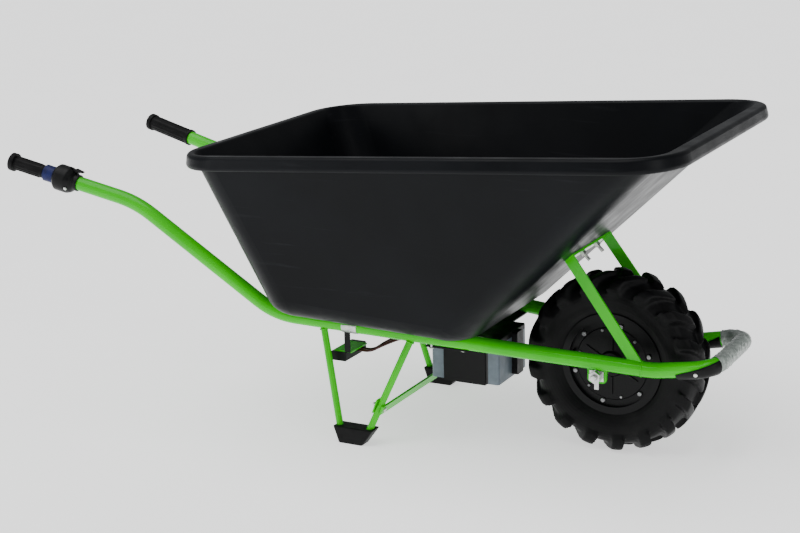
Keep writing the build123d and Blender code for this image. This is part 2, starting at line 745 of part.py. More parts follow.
rim_body = rim()
rim_bolt = turned_bolt(RIM_BOLT_CIRCLE, WEB_OUTSIDE, M8, 14, RIM_BOLT_HEAD, 5)
rim_bolts = around(rim_bolt, SCREWS_ON_MOTOR, 13)
for cut in rim_bolts:
    rim_body -= cut
    motor_shell -= cut

valve_radius = 3.5
VALVE_TURN = Rot(0, -77, 0)
valve_lane = RIM_BOLT_CIRCLE + 1.5
valve_path = FilletPolyline(
    (0, -16, BEAD_SEAT_RADIUS - 1),
    (0, -16, valve_lane),
    (0, -RIM_HALF_WIDTH - 6, valve_lane),
    radius=valve_radius + 0.5,
)
valve = VALVE_TURN * swept(valve_path, valve_radius)
rim_body -= valve
motor_shell -= VALVE_TURN * rod((0, 0, valve_lane), (0, -60, valve_lane), valve_radius + 1)

bearing = wheel_ring(
    [
        (AXLE_CORE_RADIUS + RUNNING, -cover_face - 5 + BEARING_WIDTH),
        (BEARING_RADIUS, -cover_face - 5 + BEARING_WIDTH),
        (BEARING_RADIUS, -cover_face - 5),
        (AXLE_CORE_RADIUS + RUNNING, -cover_face - 5),
    ]
)

wheel_parts = {
    "tyre": tyre(),
    "rim": rim_body,
    "rim_bolts": group(rim_bolts),
    "tyre_valve": valve,
    "motor_shell": motor_shell,
    "magnet_ring": magnet_ring,
    "right_motor_cover": right_cover,
    "left_motor_cover": left_cover,
    "motor_cover_screws": group(right_screws + left_screws),
    "wheel_bearings": group([bearing, mirror(bearing, Plane.XZ)]),
    "stator": stator,
}
for name, shape in wheel_parts.items():
    parts[name] = Pos(0, 0, axle_z) * shape


# ---------------------------------------------------------------- nose guards and wrap

def loop_share(from_middle):
    return 0.5 + from_middle / loop_path.length


def loop_sleeve(start, end, thickness):
    """A sleeve on the loop tube between two distances from the loop's middle."""
    piece = loop_path.trim(loop_share(start), loop_share(end))
    return swept(piece, TUBE_RADIUS + thickness, TUBE_RADIUS)


def nose_guard(side, near, length):
    """A plastic shell under and outside the loop that tapers back onto the tube."""
    ends = sorted([side * near, side * (near + length)])
    shell = loop_sleeve(ends[0], ends[1], GUARD_THICKNESS)
    front = loop_path @ loop_share(side * near)
    back = loop_path @ loop_share(side * (near + length))
    taper = Plane(
        origin=(front + back) * 0.5 + Vector(0, 0, 2),
        x_dir=(front - back + Vector(0, 0, 16)).normalized(),
        z_dir=(front - back + Vector(0, 0, 16)).cross(Vector(0, -1, 0)).normalized(),
    )
    above = taper * Pos(0, 0, 60) * Box(300, 300, 120)
    if taper.z_dir.Z < 0:
        above = taper * Pos(0, 0, -60) * Box(300, 300, 120)
    return shell - above


guards, guard_screws = [], []
guard_specs = {"right": (WRAP_RIGHT, RIGHT_GUARD_LENGTH), "left": (WRAP_LEFT, LEFT_GUARD_LENGTH)}
for name, (near, length) in guard_specs.items():
    side = SIDES[name]
    guard = nose_guard(side, near, length)
    middle = loop_path @ loop_share(side * (near + length * 0.5))
    along = loop_path % loop_share(side * (near + length * 0.5))
    out = along.cross(Vector(0, 0, 1)).normalized()
    if (out.X * 0.3 + out.Y * side) < 0:
        out = out * -1
    out = (out + Vector(0, 0, -0.35)).normalized()
    seat = middle + out * (TUBE_RADIUS + GUARD_THICKNESS)
    screw = bolt(seat, out * -1, 2.5, GUARD_THICKNESS + TUBE_WALL, 4.5, 3)
    guard -= screw
    parts["front_loop_tube"] -= rod(middle, seat, 2.5)
    guard_screws.append(screw)
    guards.append(guard)
parts["nose_guards"] = group(guards)
parts["nose_guard_screws"] = group(guard_screws)
parts["nose_wrap"] = loop_sleeve(-WRAP_RIGHT + SIDE_GAP, WRAP_LEFT - SIDE_GAP, WRAP_THICKNESS)


# ---------------------------------------------------------------- handles

def on_handle(side, start, end, radius, bore=0):
    """A round piece on the handle's axis between two distances from the handle's end."""
    plane = handle_plane(side)
    return rod(
        plane.from_local_coords(Vector(0, 0, start)),
        plane.from_local_coords(Vector(0, 0, end)),
        radius,
        bore,
    )


def turned_on_handle(side, points):
    """A turned piece on the handle's axis from (radius, distance) points."""
    outline = make_face(Polyline(*[(radius, 0, along) for radius, along in points], close=True))
    return handle_plane(side) * revolve(outline, Axis.Z)


flange_thickness = 9
parts["left_grip"] = turned_on_handle(
    1,
    [
        (0, 0),
        (GRIP_FLANGE_RADIUS - 3, 0),
        (GRIP_FLANGE_RADIUS, 3),
        (GRIP_FLANGE_RADIUS, flange_thickness - 2),
        (GRIP_FLANGE_RADIUS - 3, flange_thickness + 2),
        (PLAIN_GRIP_RADIUS, flange_thickness + 5),
        (PLAIN_GRIP_RADIUS, PLAIN_GRIP_LENGTH),
        (TUBE_RADIUS, PLAIN_GRIP_LENGTH),
        (TUBE_RADIUS, TUBE_START[1]),
        (0, TUBE_START[1]),
    ],
)

bar_end = 6
bar_plug = 40
inner_bar = on_handle(-1, bar_end, TUBE_START[-1] + bar_plug, INNER_BAR_RADIUS)
inner_bar += on_handle(-1, TUBE_START[-1], TUBE_START[-1] + bar_plug, TUBE_RADIUS - TUBE_WALL)
parts["throttle_bar"] = inner_bar

bore = INNER_BAR_RADIUS + RUNNING
grip = turned_on_handle(
    -1,
    [
        (0, 0),
        (GRIP_FLANGE_RADIUS - 3, 0),
        (GRIP_FLANGE_RADIUS, 3),
        (GRIP_FLANGE_RADIUS, flange_thickness - 2),
        (GRIP_FLANGE_RADIUS - 3, flange_thickness + 2),
        (GRIP_RADIUS, flange_thickness + 5),
        (GRIP_RADIUS, GRIP_LENGTH),
        (bore, GRIP_LENGTH),
        (bore, 4),
        (0, 4),
    ],
)
rib_plane = handle_plane(-1)
grip_rib_count = 16
for index in range(grip_rib_count):
    turn = Rot(0, 0, index * 360 / grip_rib_count)
    rib_length = GRIP_LENGTH - flange_thickness - 8
    rib = Pos(GRIP_RADIUS, 0, flange_thickness + 7 + rib_length / 2) * Cylinder(1.1, rib_length)
    grip += rib_plane * turn * rib
parts["twist_grip"] = grip

# The blue collar turns with the grip, and its sleeve carries the throttle magnet in the housing.
housing_wall = 3
cavity_start = HOUSING_START + SIDE_GAP + housing_wall
cavity_end = HOUSING_START + HOUSING_LENGTH - 20
sleeve_radius = INNER_BAR_RADIUS + 3
sleeve_end = cavity_start + 16
parts["throttle_collar"] = turned_on_handle(
    -1,
    [
        (bore, GRIP_LENGTH),
        (COLLAR_RADIUS - 2, GRIP_LENGTH),
        (COLLAR_RADIUS, GRIP_LENGTH + 2),
        (COLLAR_RADIUS, HOUSING_START),
        (sleeve_radius, HOUSING_START),
        (sleeve_radius, sleeve_end),
        (bore, sleeve_end),
    ],
)
magnet_size = 5
magnet_spot = Pos(sleeve_radius + magnet_size / 2, 0, sleeve_end - magnet_size / 2 - 1)
parts["throttle_magnet"] = rib_plane * magnet_spot * Box(magnet_size, magnet_size, magnet_size)

housing_end = HOUSING_START + HOUSING_LENGTH
housing = turned_on_handle(
    -1,
    [
        (sleeve_radius + 0.5, HOUSING_START + SIDE_GAP),
        (HOUSING_RADIUS - 7, HOUSING_START + SIDE_GAP),
        (HOUSING_RADIUS, HOUSING_START + 8),
        (HOUSING_RADIUS, housing_end - 16),
        (HOUSING_RADIUS - 5, housing_end - 5),
        (TUBE_RADIUS + 3, housing_end),
        (TUBE_RADIUS + 3, TUBE_START[-1] + 6),
        (TUBE_RADIUS, TUBE_START[-1] + 6),
        (TUBE_RADIUS, TUBE_START[-1]),
        (INNER_BAR_RADIUS, TUBE_START[-1]),
        (INNER_BAR_RADIUS, cavity_end),
        (HOUSING_RADIUS - housing_wall - 1, cavity_end),
        (HOUSING_RADIUS - housing_wall - 1, cavity_start + 3),
        (HOUSING_RADIUS - housing_wall - 5, cavity_start),
        (sleeve_radius + 0.5, cavity_start),
    ],
)

# The direction lever sits in a slot on the housing's top, on its own pin.
lever_pivot = Vector(HOUSING_RADIUS - 8, 0, housing_end - 8)
lever_width = 8
lever_pin_radius = 1.5
slot_gap = 0.5
slot_length = 34
slot = Pos(lever_pivot.X + 6.7, 0, lever_pivot.Z + slot_length / 2 - 9)
housing -= rib_plane * slot * Box(25, lever_width + 2 * slot_gap, slot_length)
pin_reach = lever_width / 2 + slot_gap + 3
lever_pin = Pos(lever_pivot.X, 0, lever_pivot.Z) * Rot(90, 0, 0) * Cylinder(lever_pin_radius, 2 * pin_reach)
housing -= rib_plane * lever_pin
parts["lever_pin"] = rib_plane * lever_pin
lever = Pos(lever_pivot.X, 0, lever_pivot.Z) * Rot(90, 0, 0) * Cylinder(5, lever_width)
lever_outline = make_face(
    Polyline(
        (lever_pivot.X - 3, 0, lever_pivot.Z + 2),
        (lever_pivot.X + 4.5, 0, lever_pivot.Z - 2),
        (lever_pivot.X + 10, 0, lever_pivot.Z + 8),
        (lever_pivot.X + 7, 0, lever_pivot.Z + 27),
        (lever_pivot.X + 4, 0, lever_pivot.Z + 27),
        (lever_pivot.X + 1, 0, lever_pivot.Z + 10),
        close=True,
    )
)
lever += extrude(lever_outline, lever_width / 2, both=True)
lever -= Pos(lever_pivot.X, 0, lever_pivot.Z) * Rot(90, 0, 0) * Cylinder(lever_pin_radius + RUNNING, 40)
parts["direction_lever"] = rib_plane * lever

# Housing screw, sensor board and return spring.
screw_radius = 2
screw_start = HOUSING_RADIUS - 2
screw_spot = Plane(origin=(0, 0, housing_end - 10), x_dir=(0, 0, 1), z_dir=(-0.45, 0.9, 0))
screw = screw_spot * (
    Pos(0, 0, screw_start - 8) * Cylinder(screw_radius, 14) + Pos(0, 0, screw_start + 0.4) * Cylinder(4, 3)
)
housing -= rib_plane * screw
parts["housing_screw"] = rib_plane * screw
parts["throttle_housing"] = housing

board_spot = Pos(HOUSING_RADIUS - housing_wall - 3.5, 0, sleeve_end - 4)
parts["hall_sensor_board"] = rib_plane * board_spot * Box(1.6, 12, 14)

spring_wire = 0.9
spring_pitch = 2.6
spring_height = 10.4
spring_radius = sleeve_radius + 5
spring_path = Helix(spring_pitch, spring_height, spring_radius)
spring_start = Plane(origin=spring_path @ 0, z_dir=spring_path % 0)
spring = sweep(spring_start * Circle(spring_wire), path=spring_path, is_frenet=True)
parts["return_spring"] = rib_plane * Pos(0, 0, sleeve_end + 2) * spring


# ---------------------------------------------------------------- battery

case_length, case_width, case_height = BATTERY_SIZE
case_low = Vector(-BATTERY_MIDDLE_BACK - case_length / 2, -case_width / 2, BATTERY_UNDERSIDE)
case_high = case_low + Vector(case_length, case_width, case_height)
wall = Vector(BATTERY_WALL, BATTERY_WALL, BATTERY_WALL)
case = block(case_low, case_high)
case = fillet(case.edges().filter_by(Axis.Z), 6)
case -= block(case_low + wall, case_high - Vector(wall.X, wall.Y, -1))
parts["battery_case"] = case

lid_low = Vector(case_low.X, case_low.Y, case_high.Z)
lid_high = case_high + Vector(0, 0, LID_HEIGHT)
lid = fillet(block(lid_low, lid_high).edges().filter_by(Axis.Z), 6)
lid = fillet(lid.faces().sort_by(Axis.Z)[-1].edges(), 3)
parts["battery_lid"] = lid

cell_gap = 1
cells = []
inner_low = case_low + wall + Vector(cell_gap, cell_gap, 0)
inner_high = case_high - Vector(wall.X + cell_gap, wall.Y + cell_gap, 6)
for share in (0, 1):
    half = (inner_high.Y - inner_low.Y - cell_gap) / 2
    low = Vector(inner_low.X, inner_low.Y + share * (half + cell_gap), inner_low.Z)
    cells.append(block(low, Vector(inner_high.X, low.Y + half, inner_high.Z)))
parts["battery_cells"] = group(cells)


def cradle():
    """A bent sheet under the battery, hung from the two rails by its side flanges."""
    x_low = -BATTERY_MIDDLE_BACK - CRADLE_LENGTH / 2
    x_high = x_low + CRADLE_LENGTH
    out_y = case_width / 2 + 0.3 + CRADLE_SHEET
    bottom = BATTERY_UNDERSIDE - 0.3 - CRADLE_SHEET
    top = rail_height(-BATTERY_MIDDLE_BACK) - TUBE_RADIUS - 1.5
    body = block((x_low, -out_y, bottom), (x_high, out_y, top))
    body -= block(
        (x_low - 1, -out_y + CRADLE_SHEET, bottom + CRADLE_SHEET),
        (x_high + 1, out_y - CRADLE_SHEET, top + 1),
    )
    skid = block((x_low - 34, -50, bottom - 8), (x_low + 30, 50, bottom))
    body += skid
    for side in SIDES.values():
        reach = rail_side(-BATTERY_MIDDLE_BACK) + 6
        ends = sorted([side * (out_y - CRADLE_SHEET), side * reach])
        body += block((x_low, ends[0], top - CRADLE_SHEET), (x_high, ends[1], top))
    body -= tube_bodies[-1]
    body -= tube_bodies[1]
    return body, x_low, x_high, top


cradle_body, cradle_rear, cradle_front, cradle_top = cradle()
cradle_bolts = []
for side in SIDES.values():
    for x in (cradle_rear + 15, cradle_front - 15):
        spot = Vector(x, side * rail_side(x), cradle_top - CRADLE_SHEET)
        cradle_bolt = bolt(spot, (0, 0, 1), M6, CRADLE_SHEET + 6, 6, 3)
        cradle_bolts.append(cradle_bolt)
        shank = rod(spot - Vector(0, 0, 1), spot + Vector(0, 0, CRADLE_SHEET + 9), M6)
        cradle_body -= shank
        tube = "right_side_tube" if side < 0 else "left_side_tube"
        parts[tube] -= shank
parts["battery_cradle"] = cradle_body
parts["cradle_bolts"] = group(cradle_bolts)

plug_low = Vector(case_high.X, PLUG_SIDE, lid_high.Z - PLUG_BOX[2])
plug = block(plug_low, plug_low + Vector(*PLUG_BOX))
parts["battery_plug_box"] = fillet(plug.edges().filter_by(Axis.X), 4)


# ---------------------------------------------------------------- controller and its leads

controller_low = Vector(
    -CONTROLLER_MIDDLE_BACK - CONTROLLER_SIZE[0] / 2,
    -CONTROLLER_SIDE - CONTROLLER_SIZE[1] / 2,
    CONTROLLER_UNDERSIDE,
)
controller_high = controller_low + Vector(*CONTROLLER_SIZE)
controller = fillet(block(controller_low, controller_high).edges().filter_by(Axis.Y), 3)
fin_count = 9
for index in range(fin_count):
    y = controller_low.Y + (index + 1) * CONTROLLER_SIZE[1] / (fin_count + 1)
    controller -= Pos(-CONTROLLER_MIDDLE_BACK, y, controller_low.Z) * Box(CONTROLLER_SIZE[0] + 2, 3, 6)
parts["controller"] = controller

plate_sheet = 3
plate_low = Vector(controller_low.X + 8, controller_low.Y + 2, controller_high.Z)
plate_high = Vector(-HANGER_BACK + HANGER_BAR[0] / 2, controller_high.Y - 20, controller_high.Z + plate_sheet)
parts["controller_plate"] = block(plate_low, plate_high)

hanger_y = -rail_side(-HANGER_BACK)
clamp_thickness = 1.5
hanger = block(
    (-HANGER_BACK - HANGER_BAR[0] / 2, hanger_y - HANGER_BAR[1] / 2, plate_high.Z),
    (-HANGER_BACK + HANGER_BAR[0] / 2, hanger_y + HANGER_BAR[1] / 2, rail_height(-HANGER_BACK)),
)
clamp_length = 36
clamp_middle = -HANGER_BACK + clamp_length / 2 - HANGER_BAR[0] / 2
clamp_ends = [rail_point(clamp_middle + reach, -1) for reach in (-clamp_length / 2, clamp_length / 2)]
clamp = rod(*clamp_ends, TUBE_RADIUS + clamp_thickness) - tube_bodies[-1]
clamp -= Pos(clamp_middle, hanger_y, rail_height(clamp_middle) + 30 + 4) * Box(100, 100, 60)
hanger -= rod(
    rail_point(-HANGER_BACK - clamp_length, -1),
    rail_point(-HANGER_BACK + clamp_length, -1),
    TUBE_RADIUS + clamp_thickness,
)
parts["controller_hanger"] = hanger
parts["rail_clamp"] = clamp

lead_starts = [controller_low.Y + CONTROLLER_SIZE[1] * 0.62, controller_low.Y + CONTROLLER_SIZE[1] * 0.78]
lead_points = [
    [
        (controller_high.X, lead_starts[0], 187),
        (controller_high.X + 30, lead_starts[0], 187),
        (-530, -114, 204),
        (-496, -92, 218),
        (-460, -66, 214),
        (case_low.X, -66, 214),
    ],
    [
        (controller_high.X, lead_starts[1], 187),
        (controller_high.X + 32, lead_starts[1], 187),
        (-532, -98, 208),
        (-496, -76, 222),
        (-460, -48, 214),
        (case_low.X, -48, 214),
    ],
]


def arc_radii(points):
    """Each bend is as large as its two runs allow."""
    radii = []
    for before, here, after in zip(points, points[1:], points[2:]):
        run_in, run_out = Vector(here) - Vector(before), Vector(after) - Vector(here)
        turn = run_in.get_angle(run_out)
        radii.append(0.45 * min(run_in.length, run_out.length) / tan(turn / 2))
    return radii


lead_names = ["positive_lead", "negative_lead"]
for name, points in zip(lead_names, lead_points):
    radii = arc_radii(points)
    path = FilletPolyline(*points, radius=radii)
    lead = swept(path, LEAD_RADIUS)
    parts[name] = lead
    expected = math.pi * LEAD_RADIUS**2 * path.length
    print(name, "length", round(path.length, 1), "radii", [round(radius) for radius in radii],
          "volume ratio", round(lead.volume / expected, 4))


# ---------------------------------------------------------------- written out

low = min(shape.bounding_box().min.X for shape in parts.values())
high = max(shape.bounding_box().max.X for shape in parts.values())
AXLE_X = -(low + high) / 2

os.makedirs("parts", exist_ok=True)
for name, shape in parts.items():
    export_step(Pos(AXLE_X, 0, 0) * shape, f"parts/{name}.step")
print(len(parts), "nodes, axle at x", round(AXLE_X, 2), "overall length", round(high - low, 1))
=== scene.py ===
import math

import bpy
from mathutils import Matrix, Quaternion, Vector


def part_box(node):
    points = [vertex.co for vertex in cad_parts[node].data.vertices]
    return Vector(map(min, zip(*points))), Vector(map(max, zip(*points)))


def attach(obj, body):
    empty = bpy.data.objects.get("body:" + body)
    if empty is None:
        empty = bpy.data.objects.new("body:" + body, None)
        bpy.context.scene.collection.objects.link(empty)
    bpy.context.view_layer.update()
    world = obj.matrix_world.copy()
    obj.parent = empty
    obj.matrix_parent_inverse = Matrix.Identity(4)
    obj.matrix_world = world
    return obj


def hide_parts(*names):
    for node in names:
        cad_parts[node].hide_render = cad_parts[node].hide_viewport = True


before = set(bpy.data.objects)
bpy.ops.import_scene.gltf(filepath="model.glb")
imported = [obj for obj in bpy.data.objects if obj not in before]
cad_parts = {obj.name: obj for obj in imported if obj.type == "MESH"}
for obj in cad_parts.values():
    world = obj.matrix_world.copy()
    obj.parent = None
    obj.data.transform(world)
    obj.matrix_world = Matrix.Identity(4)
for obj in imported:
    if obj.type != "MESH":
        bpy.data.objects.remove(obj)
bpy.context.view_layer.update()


# ---------------------------------------------------------------- tub
# The tub is one rotation-moulded shell of black polyethylene with a turned-down rim skirt.
# The mould leaves it faintly wavy with a fine grain, and loads leave pale scuffs inside and out.

def finish(name, colour, roughness, metallic=0.0):
    made = bpy.data.materials.new(name)
    made.use_nodes = True
    shader = made.node_tree.nodes["Principled BSDF"]
    shader.inputs["Base Color"].default_value = (*colour, 1)
    shader.inputs["Roughness"].default_value = roughness
    shader.inputs["Metallic"].default_value = metallic
    return made


def grain(made, scale, detail=4.0, stretch=(1, 1, 1), turn=(0, 0, 0)):
    nodes, links = made.node_tree.nodes, made.node_tree.links
    place = nodes.new("ShaderNodeTexCoord")
    lay = nodes.new("ShaderNodeMapping")
    lay.inputs["Scale"].default_value = stretch
    lay.inputs["Rotation"].default_value = turn
    noise = nodes.new("ShaderNodeTexNoise")
    noise.inputs["Scale"].default_value = scale
    noise.inputs["Detail"].default_value = detail
    links.new(place.outputs["Object"], lay.inputs["Vector"])
    links.new(lay.outputs["Vector"], noise.inputs["Vector"])
    return noise.outputs["Fac"]


def spread(made, pattern, low, high, start, end):
    """Maps the pattern's stretch from low to high onto start to end."""
    node = made.node_tree.nodes.new("ShaderNodeMapRange")
    node.inputs["From Min"].default_value = low
    node.inputs["From Max"].default_value = high
    node.inputs["To Min"].default_value = start
    node.inputs["To Max"].default_value = end
    made.node_tree.links.new(pattern, node.inputs["Value"])
    return node.outputs["Result"]


def tint(made, pattern, stops):
    """Colours the surface along the pattern, each stop a (position, colour) pair."""
    node = made.node_tree.nodes.new("ShaderNodeValToRGB")
    bands = node.color_ramp.elements
    while len(bands) < len(stops):
        bands.new(0.5)
    for band, (position, colour) in zip(bands, stops):
        band.position = position
        band.color = (*colour, 1)
    made.node_tree.links.new(pattern, node.inputs["Fac"])
    shader = made.node_tree.nodes["Principled BSDF"]
    made.node_tree.links.new(node.outputs["Color"], shader.inputs["Base Color"])


def overlay(made, mask, colour):
    """Lays another colour over the surface where the mask is 1."""
    nodes, links = made.node_tree.nodes, made.node_tree.links
    shader = nodes["Principled BSDF"]
    node = nodes.new("ShaderNodeMix")
    node.data_type = "RGBA"
    under = shader.inputs["Base Color"]
    if under.links:
        links.new(under.links[0].from_socket, node.inputs[6])
    else:
        node.inputs[6].default_value = under.default_value
    node.inputs[7].default_value = (*colour, 1)
    links.new(mask, node.inputs["Factor"])
    links.new(node.outputs[2], under)


def roughen(made, pattern, low, high):
    shader = made.node_tree.nodes["Principled BSDF"]
    made.node_tree.links.new(spread(made, pattern, 0.3, 0.7, low, high), shader.inputs["Roughness"])


def emboss(made, pattern, depth, strength=1.0):
    """Raises the surface along the pattern by a depth in metres."""
    nodes, links = made.node_tree.nodes, made.node_tree.links
    shader = nodes["Principled BSDF"]
    node = nodes.new("ShaderNodeBump")
    node.inputs["Distance"].default_value = depth
    node.inputs["Strength"].default_value = strength
    links.new(pattern, node.inputs["Height"])
    under = shader.inputs["Normal"]
    if under.links:
        links.new(under.links[0].from_socket, node.inputs["Normal"])
    links.new(node.outputs["Normal"], under)


def dress(made, *names):
    """Gives a finish to pieces or CAD nodes."""
    for name in names:
        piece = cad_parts.get(name) or bpy.data.objects[name]
        if not piece.material_slots:
            piece.data.materials.append(made)
        for holder in piece.material_slots:
            holder.material = made


def coat(name, dark, light, blotch, gloss, pits, metallic=0.0, specular=0.5):
    """A finish whose colour drifts from dark to light in blotches of the given fineness.

    gloss is (finest roughness, dullest roughness, fineness) and pits is (fineness, depth).
    """
    made = finish(name, dark, gloss[0], metallic)
    tint(made, grain(made, blotch, 4), [(0.32, dark), (0.7, light)])
    roughen(made, grain(made, gloss[2], 5), gloss[0], gloss[1])
    emboss(made, grain(made, pits[0], 3), pits[1], 0.5)
    made.node_tree.nodes["Principled BSDF"].inputs["Specular IOR Level"].default_value = specular
    return made


moulded_black = coat(
    "moulded black polyethylene",
    (0.0024, 0.0028, 0.0036),
    (0.0048, 0.0056, 0.0072),
    3,
    (0.30, 0.44, 14),
    (900, 0.0002),
    specular=0.10,
)
scuffs = grain(moulded_black, 5, 8, stretch=(1, 6, 14), turn=(0.2, 0.5, 0.3))
overlay(moulded_black, spread(moulded_black, scuffs, 0.66, 0.74, 0, 0.25), (0.018, 0.020, 0.023))
drag_marks = grain(moulded_black, 9, 6, stretch=(0.5, 0.5, 8))
overlay(moulded_black, spread(moulded_black, drag_marks, 0.68, 0.76, 0, 0.2), (0.022, 0.024, 0.027))
emboss(moulded_black, grain(moulded_black, 6, 1), 0.004, 0.45)
dress(moulded_black, "tub")


# ---------------------------------------------------------------- frame
# The handles, rails, nose loop, legs and braces are bent steel tube and flat bar, welded together
# and then powder coated in one glossy green, thick enough to round the welds.

powder_green = coat(
    "green powder coat",
    (0.022, 0.46, 0.0002),
    (0.036, 0.62, 0.0004),
    6,
    (0.16, 0.28, 40),
    (420, 0.0002),
    specular=0.14,
)
chips = grain(powder_green, 120, 3)
overlay(powder_green, spread(powder_green, chips, 0.74, 0.76, 0, 0.7), (0.02, 0.12, 0.006))
powder_shader = powder_green.node_tree.nodes["Principled BSDF"]
powder_shader.inputs["Coat Weight"].default_value = 0.22
powder_shader.inputs["Coat Roughness"].default_value = 0.1
dress(
    powder_green,
    "right_side_tube",
    "left_side_tube",
    "front_loop_tube",
    "front_hoop",
    "floor_straps",
    "rear_legs",
    "front_legs",
    "leg_cross_bar",
    "cross_bar_saddles",
    "axle_lugs",
    "controller_plate",
)


# ---------------------------------------------------------------- weld beads
# Each joint of the frame is closed by a hand-laid bead of weld metal, rippled where the puddle
# froze, and coated with the frame.

AXLE_X = (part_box("axle")[0][0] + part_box("axle")[1][0]) / 2
RAIL_SLOPE, RAIL_SPLAY = math.radians(3.2), math.radians(6.24)
RAIL_HALF_SPREAD, RAIL_HEIGHT = 0.128, 0.235
TUBE_RADIUS = 0.017
SMOOTH_UNDER = math.radians(40)


def rail_point(x, side):
    """On the rail's middle line, x metres ahead of the axle."""
    across = side * (RAIL_HALF_SPREAD - x * math.tan(RAIL_SPLAY))
    return Vector((AXLE_X + x, across, RAIL_HEIGHT - x * math.tan(RAIL_SLOPE)))


def finished(name, body, made, *stands_for):
    """Names the piece in hand, settles its place into its mesh, and gives it a finish and a body."""
    piece = bpy.context.object
    piece.name = name
    bpy.ops.object.select_all(action="DESELECT")
    piece.select_set(True)
    bpy.ops.object.transform_apply(location=True, rotation=True, scale=True)
    bpy.ops.object.shade_smooth_by_angle(angle=SMOOTH_UNDER)
    piece.data.materials.clear()
    piece.data.materials.append(made)
    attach(piece, body)
    if stands_for:
        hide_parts(*stands_for)


RING_STEPS, RIPPLE_EVERY, RIPPLE_SHARE = 10, 3, 0.3


def weld_bead(name, middle, along, half_size, thickness):
    """A rippled ring of weld about a joint's middle, square to the member that it holds."""
    bpy.ops.object.select_all(action="DESELECT")
    bpy.ops.mesh.primitive_torus_add(
        location=middle,
        rotation=along.to_track_quat("Z", "X").to_euler(),
        major_segments=48,
        minor_segments=RING_STEPS,
        major_radius=max(half_size),
        minor_radius=thickness,
    )
    piece = bpy.context.object
    piece.scale = (half_size[0] / max(half_size), half_size[1] / max(half_size), 1)
    bpy.ops.object.mode_set(mode="EDIT")
    bpy.ops.mesh.select_all(action="DESELECT")
    bpy.ops.object.mode_set(mode="OBJECT")
    for corner in piece.data.vertices:
        corner.select = (corner.index // RING_STEPS) % RIPPLE_EVERY == 0
    bpy.ops.object.mode_set(mode="EDIT")
    bpy.ops.transform.shrink_fatten(value=thickness * -RIPPLE_SHARE)
    bpy.ops.object.mode_set(mode="OBJECT")
    finished(name, "frame", powder_green)


LEG_RADIUS = 0.008
FOOT_SIDE, FOOT_HEIGHT = 0.230, 0.040
SEAM_AHEAD, SEAM_BEAD, LEG_BEAD, LUG_BEAD = 0.098, 0.0016, 0.0022, 0.0020
LUG_HALF_SIZE = (0.0225, 0.0038)
LEG_TOPS = (("rear", 0.644, 0.590), ("front", 0.424, 0.510))
for hand, side in (("right", -1), ("left", 1)):
    along_rail = (rail_point(0.1, side) - rail_point(0, side)).normalized()
    seam = rail_point(SEAM_AHEAD, side)
    weld_bead(f"{hand}_seam_weld", seam, along_rail, (TUBE_RADIUS, TUBE_RADIUS), SEAM_BEAD)
    for leg, top_back, foot_back in LEG_TOPS:
        top = rail_point(-top_back, side)
        foot = Vector((AXLE_X - foot_back, side * FOOT_SIDE, FOOT_HEIGHT))
        down = (foot - top).normalized()
        ring = (LEG_RADIUS + 0.0006, LEG_RADIUS + 0.0006)
        weld_bead(f"{hand}_{leg}_leg_weld", top + down * (TUBE_RADIUS + 0.0015), down, ring, LEG_BEAD)
    lug_top = rail_point(0, side) - Vector((0, 0, TUBE_RADIUS - 0.0005))
    weld_bead(f"{hand}_lug_weld", lug_top, Vector((0, 0, 1)), LUG_HALF_SIZE, LUG_BEAD)


# ---------------------------------------------------------------- fasteners
# Bolts, nuts, washers and the rail clamp are zinc-plated steel, bright with a faint yellow-blue
# bloom and dull where tools have turned them.

bright_zinc = coat(
    "zinc plate",
    (0.46, 0.48, 0.48),
    (0.74, 0.74, 0.70),
    60,
    (0.2, 0.46, 150),
    (700, 0.0001),
    metallic=1.0,
)
dress(
    bright_zinc,
    "tub_bolts",
    "tub_nuts",
    "tub_washers",
    "cross_bar_bolts",
    "cross_bar_nuts",
    "cradle_bolts",
    "axle",
    "axle_nuts",
    "axle_washers",
    "axle_torque_washers",
    "axle_spacers",
    "nose_guard_screws",
    "housing_screw",
    "rail_clamp",
    "lever_pin",
)

hub_zinc = coat(
    "dulled zinc",
    (0.14, 0.14, 0.15),
    (0.34, 0.34, 0.34),
    90,
    (0.3, 0.5, 150),
    (700, 0.0001),
    metallic=1.0,
)
dress(hub_zinc, "motor_cover_screws", "rim_bolts")


# ---------------------------------------------------------------- tyre
# A cross-ply farm tyre, moulded in one piece with big chevron lugs whose edges the mould rounds.
# Its sidewalls carry fine moulded rings, and dust stays in the roots of the lugs.

MERGE_UNDER = 0.00001
RUB_STRENGTH = 0.5


def softened(node, grid, passes):
    """A copy of a CAD node with its edges rounded as a mould or a worn die leaves them."""
    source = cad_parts[node]
    bpy.ops.object.select_all(action="DESELECT")
    piece = source.copy()
    piece.data = source.data.copy()
    piece.parent = None
    bpy.context.collection.objects.link(piece)
    bpy.context.view_layer.objects.active = piece
    piece.select_set(True)
    bpy.ops.object.mode_set(mode="EDIT")
    bpy.ops.mesh.select_all(action="SELECT")
    bpy.ops.mesh.remove_doubles(threshold=MERGE_UNDER)
    bpy.ops.object.mode_set(mode="OBJECT")
    regrid = piece.modifiers.new("regrid", "REMESH")
    regrid.mode = "VOXEL"
    regrid.voxel_size = grid
    bpy.ops.object.modifier_apply(modifier="regrid")
    rub = piece.modifiers.new("rub", "SMOOTH")
    rub.factor = RUB_STRENGTH
    rub.iterations = passes
    bpy.ops.object.modifier_apply(modifier="rub")
    return piece


wheel_low, wheel_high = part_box("tyre")
wheel_middle = [(low + high) / 2 for low, high in zip(wheel_low, wheel_high)]

tyre_rubber = coat(
    "tyre rubber",
    (0.0022, 0.0022, 0.0025),
    (0.0050, 0.0050, 0.0054),
    25,
    (0.36, 0.56, 18),
    (260, 0.0005),
    specular=0.12,
)


